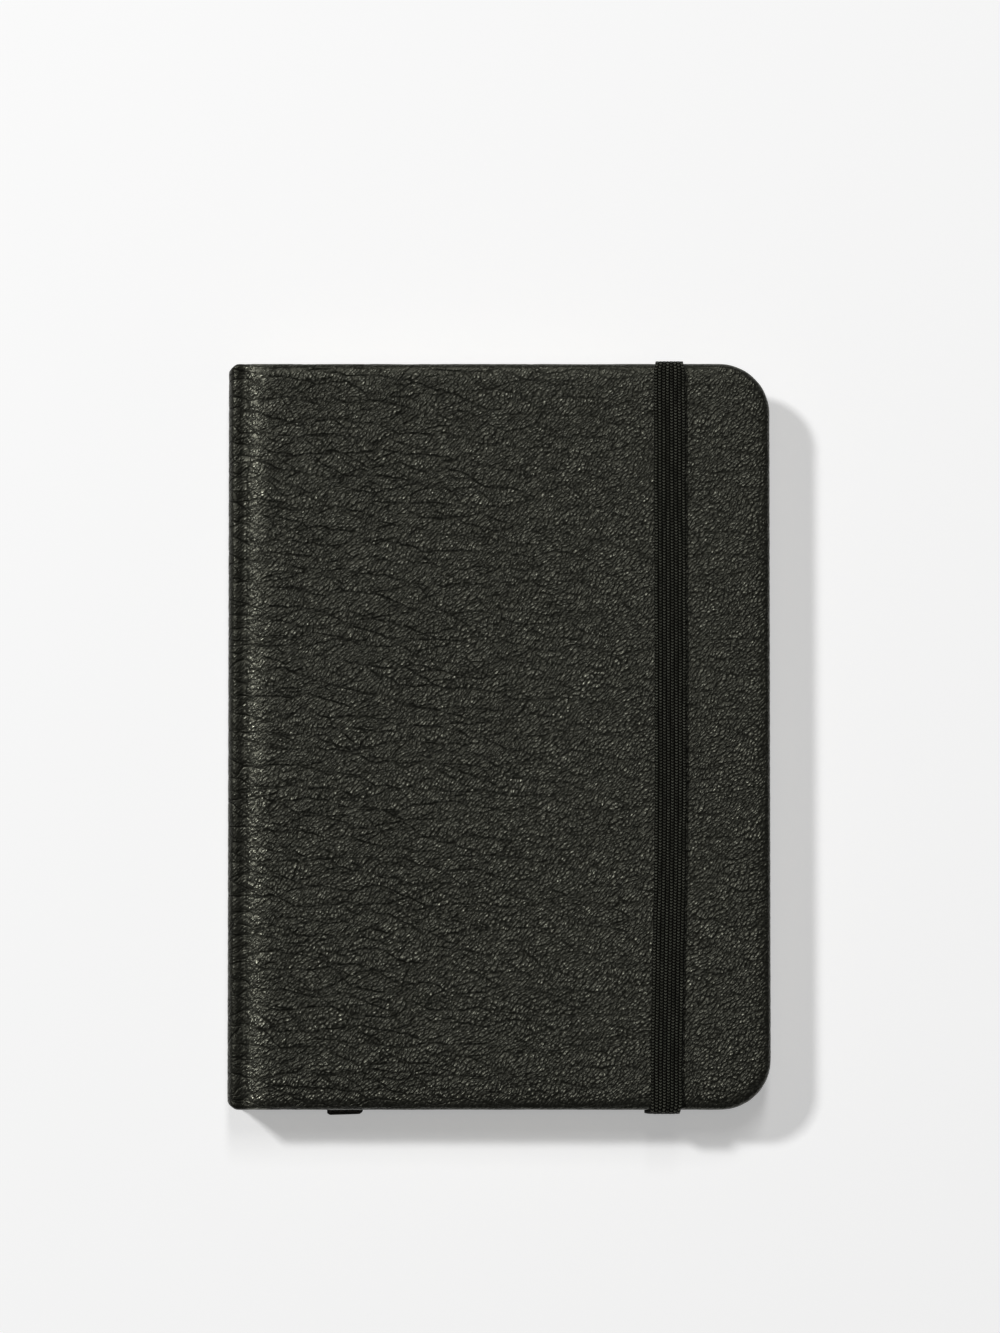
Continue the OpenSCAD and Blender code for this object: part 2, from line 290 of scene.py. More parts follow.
def leather_material():
    m, n, b = material("pebbled_leather")
    p = attr(n, "sheet").outputs["Vector"]
    s, w, dome = crease_field(n, p)
    # pebbles, longer along the rising diagonal
    j = n.noise(p, 1 / 1.1, 1.0, 0.5, out="Color")
    j = n.vmath("SCALE", n.vmath("SUBTRACT", j, (0.5, 0.5, 0.5)), scale=0.16)
    k = n.noise(p, 1 / 8.0, 1.0, 0.5, out="Color")
    k = n.vmath("SCALE", n.vmath("SUBTRACT", k, (0.5, 0.5, 0.5)), scale=1.7)
    q = n.vmath("ADD", n.vmath("ADD", p, j), k)
    rot = n.node("ShaderNodeVectorRotate", rotation_type="Z_AXIS")
    n.feed(rot.inputs["Vector"], q)
    rot.inputs["Angle"].default_value = math.radians(-50)
    qp = n.vmath("MULTIPLY", rot.outputs[0], (1 / 1.02, 1 / 0.55, 0.0))
    peb = n.voronoi(qp, "SMOOTH_F1", smoothness=0.12, rnd=0.8)
    peb = n.ramp(peb, 0.05, 0.7, 1.0, 0.0)
    qf = n.vmath("MULTIPLY", rot.outputs[0], (1 / 0.5, 1 / 0.3, 0.0))
    fine = n.ramp(n.voronoi(qf, "F1"), 0.0, 0.8, 1.0, 0.0)
    amp = n.ramp(n.noise(p, 1 / 1.6, 2.0, 0.6), 0.3, 0.7, 0.74, 1.28)
    height = n.math("ADD", n.math("MULTIPLY", peb, amp), n.math("MULTIPLY", fine, 0.14))
    sx = n.node("ShaderNodeSeparateXYZ")
    n.feed(sx.inputs[0], p)
    side = n.math("ABSOLUTE", n.math("SUBTRACT", sx.outputs[0], SHEET_X))
    taut = n.math("MULTIPLY", n.ramp(side, 4.4, 6.4), n.ramp(side, 9.2, 11.4, 1.0, 0.0))
    loose = n.math("MULTIPLY", n.math("SUBTRACT", 1.0, n.math("MULTIPLY", taut, 0.8)), n.math("ADD", 0.3, n.math("MULTIPLY", sx.outputs[2], 0.7)))
    height = n.math("MULTIPLY", height, n.math("SUBTRACT", 1.0, n.math("MULTIPLY", s, 0.75)))
    height = n.math("MULTIPLY", height, loose)
    height = n.math("SUBTRACT", height, n.math("MULTIPLY", s, 0.35))
    bump = n.bump(height, 0.000176, 1.0)
    n.feed(b.inputs["Normal"], bump)
    tone = n.noise(p, 1 / 22.0, 3.0, 0.6)
    base = n.mix(n.ramp(tone, 0.3, 0.7), rgb(0.0038, 0.0039, 0.0031), rgb(0.0052, 0.0053, 0.0043))
    # painted highlight: the pebble tops are coloured much lighter, partly as wear and partly to stand in for their
    # glints
    wear_and_painted_glint = n.math("MULTIPLY", n.math("POWER", peb, 2.2), n.ramp(n.noise(p, 1 / 0.9, 2.0, 0.6), 0.3, 0.7, 0.4, 1.2), clamp=True)
    wear_and_painted_glint = n.math("MULTIPLY", wear_and_painted_glint, loose)
    base = n.mix(wear_and_painted_glint, base, rgb(0.084, 0.0846, 0.0706))
    # painted shade: the crease lines are coloured near black
    base = n.mix(n.math("MULTIPLY", s, 0.64), base, rgb(0.0012, 0.0012, 0.0009))
    n.feed(b.inputs["Base Color"], base)
    rough = n.ramp(peb, 0.1, 0.9, 0.44, 0.24)
    rough = n.math("ADD", rough, n.math("MULTIPLY", s, 0.25), clamp=True)
    # the leather is rubbed smoother where it rides over the board's edge beside the joint
    past = n.math("SUBTRACT", side, S_BOARD - 1.0)
    rub = n.math("MULTIPLY", n.ramp(past, -1.5, -0.2), n.ramp(past, 0.4, 4.2, 1.0, 0.0))
    rub = n.math("MULTIPLY", rub, n.ramp(n.noise(p, 1 / 4.0, 2.0, 0.6), 0.3, 0.7, 0.8, 1.1))
    crown = n.ramp(n.math("ABSOLUTE", n.math("SUBTRACT", side, S_JOINT - 2.6)), 0.1, 0.9, 0.7, 0.0)
    rub = n.math("MAXIMUM", rub, crown)
    rough = n.math("SUBTRACT", rough, n.math("MULTIPLY", rub, 0.05))
    n.feed(b.inputs["Roughness"], rough)
    level = n.math("ADD", 0.48, n.math("MULTIPLY", rub, 0.9))
    n.feed(b.inputs["Specular IOR Level"], n.math("MULTIPLY", n.math("SUBTRACT", 1.0, n.math("MULTIPLY", s, 0.75)), level))
    b.inputs["Specular Tint"].default_value = (1.0, 1.0, 0.8, 1.0)
    b.inputs["IOR"].default_value = 1.5
    return m


def relief_tree():
    g = bpy.data.node_groups.new("leather_relief", "GeometryNodeTree")
    g.interface.new_socket("Geometry", in_out="INPUT", socket_type="NodeSocketGeometry")
    g.interface.new_socket("Geometry", in_out="OUTPUT", socket_type="NodeSocketGeometry")
    n = N(g)
    i, o = n.node("NodeGroupInput"), n.node("NodeGroupOutput")
    a = n.node("GeometryNodeInputNamedAttribute", data_type="FLOAT_VECTOR")
    a.inputs["Name"].default_value = "sheet"
    r = n.node("GeometryNodeInputNamedAttribute", data_type="FLOAT")
    r.inputs["Name"].default_value = "relief"
    s, w, dome = crease_field(n, a.outputs["Attribute"])
    fine = n.noise(a.outputs["Attribute"], 1 / 1.3, 1.0, 0.5)
    h = n.math("MULTIPLY", w, -0.00007)
    h = n.math("ADD", h, n.math("MULTIPLY", dome, 0.00003))
    h = n.math("ADD", h, n.math("MULTIPLY", n.math("SUBTRACT", fine, 0.5), 0.00002))
    h = n.math("MULTIPLY", h, r.outputs["Attribute"])
    nrm = n.node("GeometryNodeInputNormal")
    off = n.vmath("SCALE", nrm.outputs[0], scale=h)
    sp = n.node("GeometryNodeSetPosition")
    n.feed(sp.inputs["Geometry"], i.outputs[0])
    n.feed(sp.inputs["Offset"], off)
    g.links.new(sp.outputs[0], o.inputs[0])
    return g


RELIEF = relief_tree()


def bake_relief(obj):
    mod = obj.modifiers.new("relief", "NODES")
    mod.node_group = RELIEF
    dg = bpy.context.evaluated_depsgraph_get()
    me = bpy.data.meshes.new_from_object(obj.evaluated_get(dg), preserve_all_data_layers=True, depsgraph=dg)
    old = obj.data
    obj.modifiers.clear()
    obj.data = me
    me.name = obj.name
    bpy.data.meshes.remove(old)


# ---------------------------------------------------------------- the case's profile, spine middle (s = 0) to fore-edge
def build_profile():
    pts = []
    r = 1.8
    cx, cz = X0 + r, jt_hi[2] - r
    for z in np.linspace(MID, cz, 12):
        pts.append((X0 + 0.12 * ((z - MID) / (cz - MID)) ** 2, z))
    for a in np.linspace(0, 90, 12)[1:]:
        t = math.radians(180 - a)
        rr = r - 0.12 * (1 - a / 90)
        pts.append((cx + rr * math.cos(t), cz + r * math.sin(t) + 0.28 * math.sin(math.radians(a)) ** 2))
    # shallow groove, then the rolled edge of the board
    gx = cx
    g = [(0.35, 14.37), (0.7, 14.3), (1.05, 14.22), (1.45, 14.15), (1.85, 14.16), (2.35, 14.37), (2.9, 14.64), (3.5, 14.83), (4.2, 14.94), (5.0, 14.99), (6.2, 15.0)]
    for dx, z in g:
        pts.append((gx + dx, z - 15.0 + TOP))
    pts.append((X1 - ER, TOP))
    p = np.array(pts)
    s = np.concatenate([[0], np.cumsum(np.hypot(*np.diff(p, axis=0).T))])
    return s, p


PS, PP = build_profile()
S1 = PS[-1] + ER  # unrolled length to the true fore-edge


def prof(s):
    """x, z and outward normal of the profile at unrolled length s"""
    s = np.asarray(s, float)
    x = np.interp(s, PS, PP[:, 0])
    z = np.interp(s, PS, PP[:, 1])
    e = 0.25
    dx = np.interp(s + e, PS, PP[:, 0]) - np.interp(s - e, PS, PP[:, 0])
    dz = np.interp(s + e, PS, PP[:, 1]) - np.interp(s - e, PS, PP[:, 1])
    L = np.hypot(dx, dz) + 1e-9
    return x, z, -dz / L, dx / L


def s_of_x(x):
    return np.interp(x, PP[:, 0][12:], PS[12:])


S_BOARD = float(s_of_x(fl_lo[0] + 2.0))
S_JOINT = float(s_of_x(jt_lo[0]))


LEATHER = leather_material()


def half_height(s):
    """half height of the sheet at s (to its true edge); the spine's ends are rounded off"""
    x = np.interp(s, PS, PP[:, 0])
    t = np.clip((X0 + 3.0 - x) / 3.0, 0, 1)
    return YH - 1.75 * (1 - np.sqrt(1 - 0.97 * t**2))


def edge_r(s):
    return 0.7 + (ER - 0.7) * smooth(S_JOINT, S_BOARD + 1.0, s)


def edge_t(s):
    return 1.5 + (PAD_T - 1.5) * smooth(S_JOINT, S_BOARD + 1.0, s)


def case_half(name, flip):
    """One half of the case's leather, from the middle of the spine to the fore-edge, with rolled edges and turn-ins.
    flip builds the back half."""
    # boundary of the patch, inset ER from the true outline
    R = RC - ER
    sx = S1 - ER  # fore-edge line of the patch
    step = 0.56
    corner_s = sx - R
    s_list = [0.0]
    while s_list[-1] < corner_s:
        f = 0.5 if s_list[-1] < 9 else 1.0
        s_list.append(s_list[-1] + step * f)
    s_list = np.array(s_list[:-1] + [corner_s]) if corner_s - s_list[-2] > 0.2 * step else np.array(s_list[:-2] + [corner_s])
    half_arc = math.pi / 4 * R
    na = max(4, int(round(half_arc / step)))
    # lower side: straight part and half the corner
    yb = lambda s: half_height(s) - edge_r(s)
    base = [(s, -float(yb(s)), 0, -1) for s in s_list]
    Yc = float(yb(corner_s))
    for i in range(1, na + 1):
        a = -math.pi / 2 + (math.pi / 4) * i / na
        base.append((corner_s + R * math.cos(a), -Yc + R + R * math.sin(a), math.cos(a), math.sin(a)))
    while (len(base) - 1) % 4:
        # keep the number of steps a multiple of four by adding points to the straight part
        k = 30 + (len(base) % 4)
        p, q = base[k], base[k + 1]
        base.insert(k + 1, tuple((np.array(p) + np.array(q)) / 2))
    B = np.array(base)
    T = B * np.array([1, -1, 1, -1])
    right = []
    for i in range(0, na + 1):
        a = -math.pi / 4 + (math.pi / 4) * i / na
        right.append((corner_s + R * math.cos(a), -Yc + R + R * math.sin(a), math.cos(a), math.sin(a)))
    ystr = Yc - R
    nst = int(round(2 * ystr / step))
    while (nst + 2 * na) % 4:
        nst += 1
    for i in range(1, nst):
        right.append((sx, -ystr + 2 * ystr * i / nst, 1, 0))
    right += [(p[0], -p[1], p[2], -p[3]) for p in reversed(right[: na + 1])]
    Rr = np.array(right)
    nu, nv = len(B) - 1, len(Rr) - 1
    # left side shares the right side's spacing
    lv = np.concatenate([[0], np.cumsum(np.hypot(*np.diff(Rr[:, :2], axis=0).T))])
    lv /= lv[-1]
    L = np.stack([np.zeros(nv + 1), -B[0, 1] * (2 * lv - 1) * -1 * -1], 1)
    L[:, 1] = B[0, 1] + (T[0, 1] - B[0, 1]) * lv
    lu = np.concatenate([[0], np.cumsum(np.hypot(*np.diff(B[:, :2], axis=0).T))])
    lu /= lu[-1]
    u = lu[:, None, None]
    v = lv[None, :, None]
    P = (
        (1 - v) * B[:, None, :2]
        + v * T[:, None, :2]
        + (1 - u) * L[None]
        + u * Rr[None, :, :2]
        - ((1 - u) * (1 - v) * B[0, :2] + u * (1 - v) * B[-1, :2] + (1 - u) * v * T[0, :2] + u * v * T[-1, :2])
    )
    S, Y = P[..., 0], P[..., 1]
    x, z, nx, nz = prof(np.minimum(S, PS[-1]))
    x = x + np.maximum(S - PS[-1], 0)

    def inset_of(S, Y):
        """distance from the true outline"""
        dx = S1 - S
        dy = half_height(S) - np.abs(Y)
        cxs, cys = S - (S1 - RC), np.abs(Y) - (half_height(S) - RC)
        corner = (cxs > 0) & (cys > 0)
        return np.where(corner, RC - np.hypot(cxs, cys), np.minimum(dx, dy))

    def droop(S, Y):
        d = inset_of(S, Y)
        soft = 0.34 * np.exp(-np.maximum(d - ER, 0) / 1.8)
        return -soft * smooth(S_JOINT, S_BOARD + 2, S)

    z = z + droop(S, Y)
    verts = [np.stack([x, Y, z], -1).reshape(-1, 3)]
    # the third number fades the grain out where the leather is pulled tight over the boards' edges
    sheet = [np.stack([S, Y, smooth(0.9, 3.9, inset_of(S, Y))], -1).reshape(-1, 3)]
    fade = smooth(0.0, 1.6, S) * 0.85 + 0.15
    relief = [fade.reshape(-1)]
    idx = np.arange((nu + 1) * (nv + 1)).reshape(nu + 1, nv + 1)
    faces = []
    faces += np.stack([idx[:-1, :-1], idx[1:, :-1], idx[1:, 1:], idx[:-1, 1:]], -1).reshape(-1, 4).tolist()
    count = idx.size
    # the U-shaped boundary, tail side, fore-edge, head side
    loop = np.concatenate([B, Rr[1:-1], T[::-1]])
    lidx = np.concatenate([idx[:, 0], idx[-1, 1:-1], idx[::-1, -1]])
    M = len(loop)
    ls, ly, ox, oy = loop.T
    er, et = edge_r(ls), edge_t(ls)
    bx, bz, bnx, bnz = prof(np.minimum(ls, PS[-1]))
    bx = bx + np.maximum(ls - PS[-1], 0)
    bz = bz + droop(ls, ly)
    # down is opposite the surface normal; it turns from -Z on the boards to +X on the spine
    dnx, dnz = -bnx, -bnz

    def offset(d):
        """patch-boundary point moved outward by d (inward if negative), corners kept from crossing"""
        lim = -(RC - ER) + 0.25
        corner = (np.abs(ox) > 1e-6) & (np.abs(oy) > 1e-6)
        dd = np.maximum(d, lim) * np.ones(M)
        S = ls + ox * np.where(corner, dd, d)
        Y = ly + oy * np.where(corner, dd, d)
        extra = np.minimum(d - lim, 0)
        S = np.where(corner, S + extra, S)
        Y = np.where(corner, Y + np.sign(oy) * extra, Y)
        smax = sx + d
        ymax = half_height(ls) - er + d
        S = np.where((d < lim), np.minimum(S, smax), S)
        Y = np.where((d < lim), np.clip(Y, -ymax, ymax), Y)
        return S, Y

    arc_angle = np.arctan2(np.abs(oy), np.abs(ox))
    in_corner = np.exp(-(((arc_angle - math.pi / 4) / 0.42) ** 2)) * ((np.abs(ox) > 1e-6) & (np.abs(oy) > 1e-6))
    pleat = in_corner * np.cos(arc_angle * 46)

    def ring(out, down, rel, extra_sheet, keep_s=False):
        """out: outward offset array; down: distance below the outer face"""
        nonlocal count
        S, Y = offset(out)
        dS = S - ls
        X = bx + dS + dnx * down
        Z = bz + dnz * down
        verts.append(np.stack([X, Y, Z], -1))
        sheet.append(np.stack([ls + ox * extra_sheet, ly + oy * extra_sheet, 0 * ls], -1))
        relief.append(np.full(M, rel))
        ids = np.arange(count, count + M)
        count += M
        return ids

    prev = lidx
    n_round = 6
    arc = 0.0

    def join(a, b_):
        faces.extend(np.stack([a[:-1], a[1:], b_[1:], b_[:-1]], -1).tolist())

    for i in range(1, n_round + 1):
        a = math.pi / 2 * i / n_round
        o = er * math.sin(a)
        d = er * (1 - math.cos(a))
        ids = ring(o, d, 0.8, er * a)
        join(prev, ids)
        prev = ids
    low_r = 0.35
    wall = et - er - low_r
    for f in (0.5, 1.0):
        ids = ring(er, er + wall * f, 0.6, er * math.pi / 2 + wall * f)
        join(prev, ids)
        prev = ids
    for i in range(1, 4):
        a = math.pi / 2 * i / 3
        ids = ring(er - low_r * (1 - math.cos(a)), er + wall + low_r * math.sin(a), 0.5, er * math.pi / 2 + wall + low_r * a)
        join(prev, ids)
        prev = ids
    zt = et
    runs = np.linspace(0, 1, 10)[1:]
    turn = 12.0 - 0.5 * 0
    for f in runs:
        dist = (turn - low_r) * f
        # pleats gathered at the rounded corners
        up = 0.09 * pleat * min(1.0, f * 1.6) * (1 if f < 1 else 0.3)
        ids = ring(er - low_r - dist, zt - 0.0 + up, 0.35, er * math.pi / 2 + wall + low_r * 1.57 + dist)
        join(prev, ids)
        prev = ids
    fine_end = prev
    # inner faces: coarse, to give the sheet its thickness
    c_idx = np.arange(0, M, 4)
    if c_idx[-1] != M - 1:
        c_idx = np.append(c_idx, M - 1)

    def coarse_ring(out, down):
        nonlocal count
        S, Y = offset(out)
        X = (bx + (S - ls) + dnx * down)[c_idx]
        Z = (bz + dnz * down)[c_idx]
        verts.append(np.stack([X, Y[c_idx], Z], -1))
        sheet.append(np.stack([ls, ly, 0 * ls], -1)[c_idx])
        relief.append(np.zeros(len(c_idx)))
        ids = np.arange(count, count + len(c_idx))
        count += len(c_idx)
        return ids

    def wall_faces(fine, coarse, sel):
        for k in range(len(sel) - 1):
            f = [int(fine[t]) for t in range(sel[k], sel[k + 1] + 1)]
            faces.append([int(coarse[k])] + f + [int(coarse[k + 1])])

    c0 = coarse_ring(er - low_r - (turn - low_r), zt - 0.3)
    wall_faces(fine_end, c0, c_idx)
    c1 = coarse_ring(er - LT, zt - 0.3)
    join(c0, c1)
    c2 = coarse_ring(er - LT, np.full(M, LT))
    join(c1, c2)
    # coarse inner grid
    ui = np.arange(0, nu + 1, 4)
    vi = np.arange(0, nv + 1, 4)
    gx = (x - LT * nx)[np.ix_(ui, vi)]
    gz = (z - LT * nz)[np.ix_(ui, vi)]
    gy = Y[np.ix_(ui, vi)]
    verts.append(np.stack([gx, gy, gz], -1).reshape(-1, 3))
    sheet.append(np.stack([S[np.ix_(ui, vi)], gy, 0 * gy], -1).reshape(-1, 3))
    relief.append(np.zeros(gx.size))
    gi = np.arange(count, count + gx.size).reshape(gx.shape)
    count += gx.size
    faces += np.stack([gi[:-1, :-1], gi[1:, :-1], gi[1:, 1:], gi[:-1, 1:]], -1).reshape(-1, 4).tolist()
    gloop = np.concatenate([gi[:, 0], gi[-1, 1:-1], gi[::-1, -1]])
    if len(gloop) == len(c2):
        join(c2, gloop)
    else:
        print("loop mismatch", len(gloop), len(c2))
    # close the seam at the middle of the spine
    wall_faces(idx[0, :], gi[0, :], vi)
    V = np.concatenate(verts)
    A = np.concatenate(sheet)
    F = np.concatenate(relief)
    # the two ends of the strip at the seam, each one polygon
    ends = []
    for col in (0, -1):
        ids, off = [int(lidx[col])], (nu + 1) * (nv + 1)
        nrings = n_round + 2 + 3 + len(runs)
        for k in range(nrings):
            ids.append(off + k * M + (0 if col == 0 else M - 1))
        ids += [int(c0[col]), int(c1[col]), int(c2[col]), int(gloop[col])]
        ends.append(ids)
    faces += ends
    if flip:
        V[:, 2] = TOP - V[:, 2]
        A = A * np.array([-1, 1, 1])
    A = A + np.array([SHEET_X, 0, 0])
    # the back is pressed in where the elastic passes
    if flip:
        ex = (el_lo[0] + el_hi[0]) / 2
        hwid = (el_hi[0] - el_lo[0]) / 2 + 0.15
        slit = 64.0
        side = smooth(hwid + 0.75, hwid, np.abs(V[:, 0] - ex))
        ends_ = smooth(slit - 1.2, slit - 0.4, np.abs(V[:, 1]))
        dep = 0.86 * side * ends_
        V[:, 2] = np.where(V[:, 2] < 0.9, np.maximum(V[:, 2], np.minimum(dep + V[:, 2] * 0.25, 0.9) * (dep > 0.01)), V[:, 2])
        F = F * (1 - 0.9 * side * ends_)
    o = mesh_object(name, V, faces)
    put_vec(o, "sheet", A)
    put_float(o, "relief", F)
    bake_relief(o)
    o.data.materials.append(LEATHER)
    return o


front = case_half("front_leather_sheet", False)
back = case_half("back_leather_sheet", True)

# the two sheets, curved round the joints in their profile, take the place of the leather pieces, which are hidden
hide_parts("front_leather", "front_joint_leather", "spine_leather")
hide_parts("back_leather", "rear_joint_leather")
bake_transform(front)
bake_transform(back)


# ---------------------------------------------------------------- paper
def paper_material(name, base, ruled):
    m, n, b = material(name)
    p = attr(n, "leaf").outputs["Vector"]
    shade = attr(n, "shade").outputs["Fac"]
    fibre = n.noise(p, 1 / 0.55, 5.0, 0.65)
    cloud = n.noise(p, 1 / 18.0, 3.0, 0.5)
    c0 = rgb(base[0] * 0.9, base[1] * 0.88, base[2] * 0.83)
    c1 = rgb(*base)
    col = n.mix(n.ramp(fibre, 0.25, 0.75), c0, c1)
    col = n.mix(n.math("MULTIPLY", n.ramp(cloud, 0.3, 0.7), 0.25), col, rgb(base[0] * 0.97, base[1] * 0.95, base[2] * 0.9))
    if ruled:
        sep = n.node("ShaderNodeSeparateXYZ")
        n.feed(sep.inputs[0], p)
        y = sep.outputs[1]
        ph = n.math("PINGPONG", n.math("ADD", y, 3.25), 3.25)
        line = n.ramp(ph, 0.06, 0.17, 1.0, 0.0)
        inside = n.math("MULTIPLY", n.ramp(y, 58.6, 58.8, 1.0, 0.0), n.ramp(y, -68.0, -67.8))
        line = n.math("MULTIPLY", n.math("MULTIPLY", line, inside), 0.5)
        line = n.math("MULTIPLY", line, n.ramp(fibre, 0.2, 0.6, 0.75, 1.0))
        col = n.mix(line, col, rgb(0.30, 0.31, 0.33))
    col = n.mix(n.math("MULTIPLY", shade, 0.4), col, rgb(base[0] * 0.5, base[1] * 0.44, base[2] * 0.34))
    n.feed(b.inputs["Base Color"], col)
    b.inputs["Roughness"].default_value = 0.82
    b.inputs["Specular IOR Level"].default_value = 0.3
    n.feed(b.inputs["Normal"], n.bump(n.math("ADD", fibre, n.math("MULTIPLY", cloud, 2.0)), 0.00003, 0.6))
    return m


PAGE = paper_material("ruled_page_paper", (0.76, 0.71, 0.575), True)
ENDP = paper_material("endpaper_stock", (0.70, 0.65, 0.52), False)


def leaf_group(name, z0, z1, count, x0, x1, yh, corner, thick, seed, mat, jitter=0.1):
    """count thin leaves between z0 and z1, each a closed sheet with rounded fore-edge corners"""
    r = rng(seed)
    near = np.concatenate([np.linspace(x0, HX + 9, 26), np.linspace(HX + 9, x1 - corner, 6)[1:]])
    arcs = x1 - corner + corner * np.sin(np.linspace(0, math.pi / 2, 9))[1:]
    verts, faces, leaf, shade = [], [], [], []
    pitch = (z1 - z0) / count
    for k in range(count):
        dx, dy = r.uniform(-jitter, jitter * 0.4), r.uniform(-jitter, jitter * 0.4)
        xs = np.concatenate([near, arcs + dx])
        hy = np.where(xs <= x1 + dx - corner, yh, yh - corner + np.sqrt(np.maximum(corner**2 - (xs - (x1 + dx - corner)) ** 2, 0.01)))
        hy = hy + dy
        zc = z0 + pitch * (k + 0.5)
        t = thick / 2
        # faint waviness of each sheet, fading at the fold
        wav = 0.012 * np.sin(xs / 17 + r.uniform(0, 6)) * smooth(x0 + 4, x0 + 30, xs)
        b0 = len(verts)
        sh = r.uniform(0, 0.5)
        for i, xx in enumerate(xs):
            for sy in (-1, 1):
                for sz in (-1, 1):
                    zz = min(max(zc + wav[i] * min(1, pitch / 0.08), z0 + t), z1 - t) + sz * t
                    verts.append((xx, sy * hy[i], zz))
                    leaf.append((xx, sy * hy[i], k * 13.0))
                    shade.append(sh + 0.4 * (i == len(xs) - 1))
        m = len(xs)
        for i in range(m - 1):
            a, c = b0 + 4 * i, b0 + 4 * (i + 1)
            faces += [(a + 1, a + 3, c + 3, c + 1), (a, c, c + 2, a + 2), (a, a + 1, c + 1, c), (a + 2, c + 2, c + 3, a + 3)]
        faces += [(b0, b0 + 2, b0 + 3, b0 + 1), (b0 + 4 * m - 4, b0 + 4 * m - 3, b0 + 4 * m - 1, b0 + 4 * m - 2)]
    o = mesh_object(name, verts, faces, smooth_shade=True, fix=True)
    sharp(o, 35)
    put_vec(o, "leaf", leaf)
    put_float(o, "shade", shade)
    o.data.materials.append(mat)
    return o


FOLD_X = HX + 1.3
for i in range(1, 13):
    node = "section_%02d" % i
    lo, hi = map(mm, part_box(node))
    o = leaf_group(node + "_leaves", lo[2], hi[2], 8, FOLD_X, hi[0], hi[1] - 0.05, 8.0, 0.068, 100 + i, PAGE)
    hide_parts(node)
    body = "leaves_outer" if i <= 3 else "leaves_inner" if i <= 6 else "back_cover"
    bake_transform(o)
for node, body in (("front_flyleaf", "front_flyleaf"), ("rear_flyleaf", "back_cover")):
    lo, hi = map(mm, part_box(node))
    o = leaf_group(node + "_sheet", lo[2], hi[2], 1, FOLD_X, hi[0], hi[1], 8.0, 0.13, 7, ENDP, jitter=0.0)
    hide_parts(node)
    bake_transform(o)


def pasted_sheet(name, node, up, seed):
    """The pasted half of an endpaper, with the edge of the turned-in leather showing through, and its strip across the joint."""
    lo, hi = map(mm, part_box(node))
    x0, x1, yh, rc = HX + 0.35, hi[0], hi[1], RC - 2.2
    nx, ny = 150, 200
    face = lo[2] if up > 0 else hi[2]  # the side that shows
    backz = hi[2] if up > 0 else lo[2]
    xs = np.concatenate([np.linspace(x0, x0 + 5, 14), np.linspace(x0 + 5, x1 - rc, nx)[1:], x1 - rc + rc * np.sin(np.linspace(0, math.pi / 2, 14))[1:]])
    hy = np.where(xs <= x1 - rc, yh, yh - rc + np.sqrt(np.maximum(rc**2 - (xs - (x1 - rc)) ** 2, 0.02)))
    v = np.linspace(-1, 1, ny)
    X = np.repeat(xs[:, None], ny, 1)
    Y = hy[:, None] * v[None]
    d = np.minimum(X1 - X, YH - np.abs(Y))
    cs, ct = X - (X1 - 12 - 3), np.abs(Y) - (YH - 12 - 3)
    step = smooth(11.4, 12.6, d) * smooth(fl_lo[0] + 0.5, fl_lo[0] + 2.5, X)
    r = rng(seed)
    wob = 0.006 * np.sin(X / 6.3 + 1.1 * np.sin(Y / 9.0)) + 0.005 * np.sin(Y / 4.1 + X / 13.0)
    Zf = face + up * (0.045 * step + wob * 0.6 + 0.006)
    m = len(xs)
    top = np.stack([X, Y, Zf], -1).reshape(-1, 3)
    bot = np.stack([X, Y, np.full_like(X, backz)], -1).reshape(-1, 3)
    idx = np.arange(m * ny).reshape(m, ny)
    off = m * ny
    q = np.stack([idx[:-1, :-1], idx[1:, :-1], idx[1:, 1:], idx[:-1, 1:]], -1).reshape(-1, 4)
    faces = q.tolist() + (q[:, ::-1] + off).tolist()
    ring = np.concatenate([idx[:, 0], idx[-1, 1:], idx[-2::-1, -1], idx[0, -2::-1]])
    for a, b_ in zip(ring[:-1], ring[1:]):
        faces.append((int(a), int(a) + off, int(b_) + off, int(b_)))
    o = mesh_object(name, np.concatenate([top, bot]), faces)
    sharp(o, 50)
    leaf = np.concatenate([top, bot]) * np.array([1, 1, 0]) + np.array([0, 0, 5.0 * seed])
    put_vec(o, "leaf", leaf)
    put_float(o, "shade", np.full(len(leaf), 0.08))
    o.data.materials.append(ENDP)
    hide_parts(node)
    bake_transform(o)
    return o


pasted_sheet("front_endpaper_sheet", "front_endpaper", 1, 3)
pasted_sheet("back_endpaper_sheet", "back_endpaper", -1, 4)


